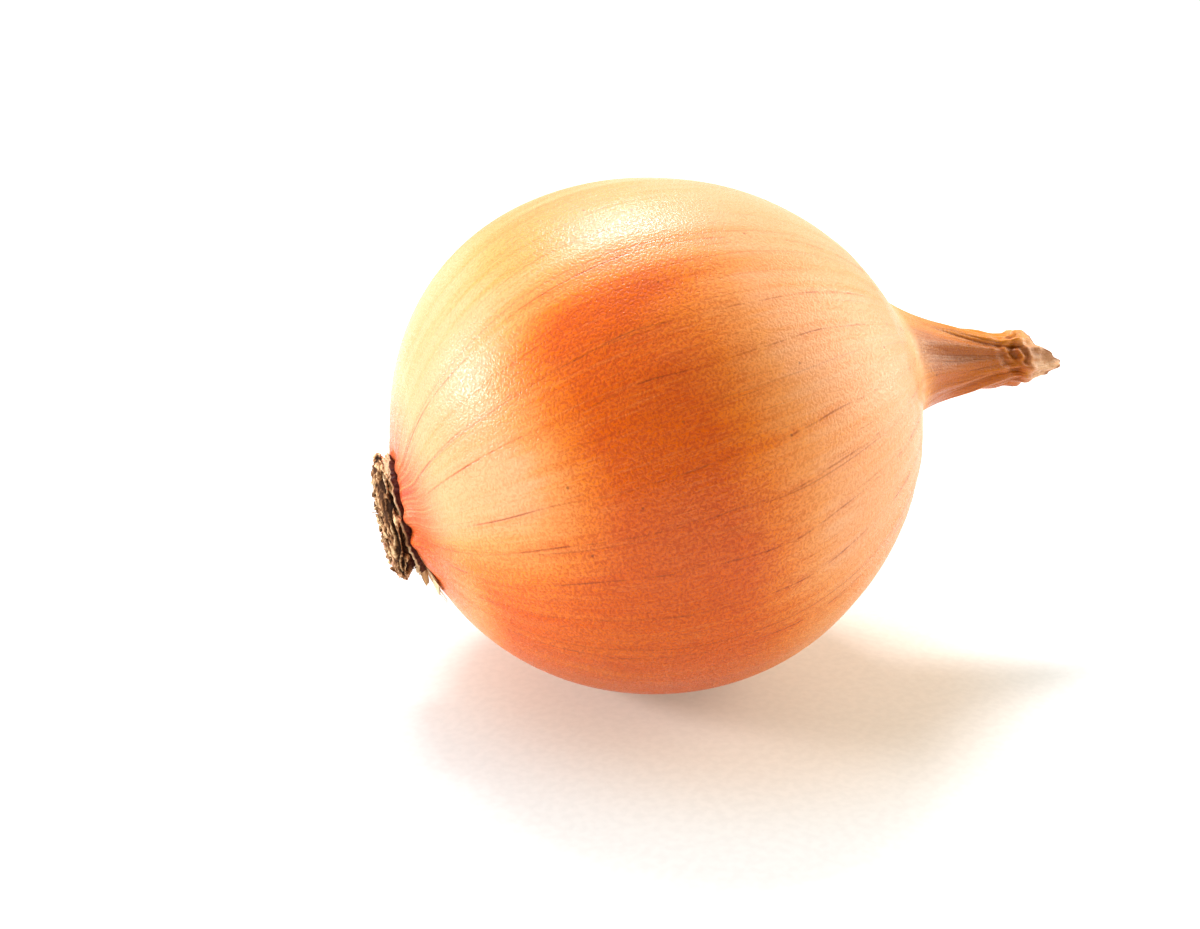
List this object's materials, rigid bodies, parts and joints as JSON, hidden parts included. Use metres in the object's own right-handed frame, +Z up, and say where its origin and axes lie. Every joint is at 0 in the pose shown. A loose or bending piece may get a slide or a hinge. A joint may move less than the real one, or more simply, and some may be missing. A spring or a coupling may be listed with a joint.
{
  "type": "onion",
  "caption": "Round dry-skinned yellow onion lying on its side, with a tapered twisted neck, a crumbly root plate and a torn ring of skin round it.",
  "frame": {"origin": "On the surface the onion lies on, at the middle of the bottom of its bounding box.", "axes": "+X runs level from the root end towards the neck, +Z is up, and +Y completes the right-handed frame. The bulb's own axis rises about 15 degrees towards the neck."},
  "size_m": [0.1, 0.0692, 0.068],
  "materials": {
    "onion_skin": "satin, thin papery skin with lengthwise veins",
    "dried_root": "dull, crumbly and fibrous",
    "torn_skin": "dull, dry and papery"
  },
  "bodies": {
    "root": {"bulb": "onion_skin", "root_plate": "dried_root", "skin_collar": "torn_skin"}
  },
  "joints": []
}
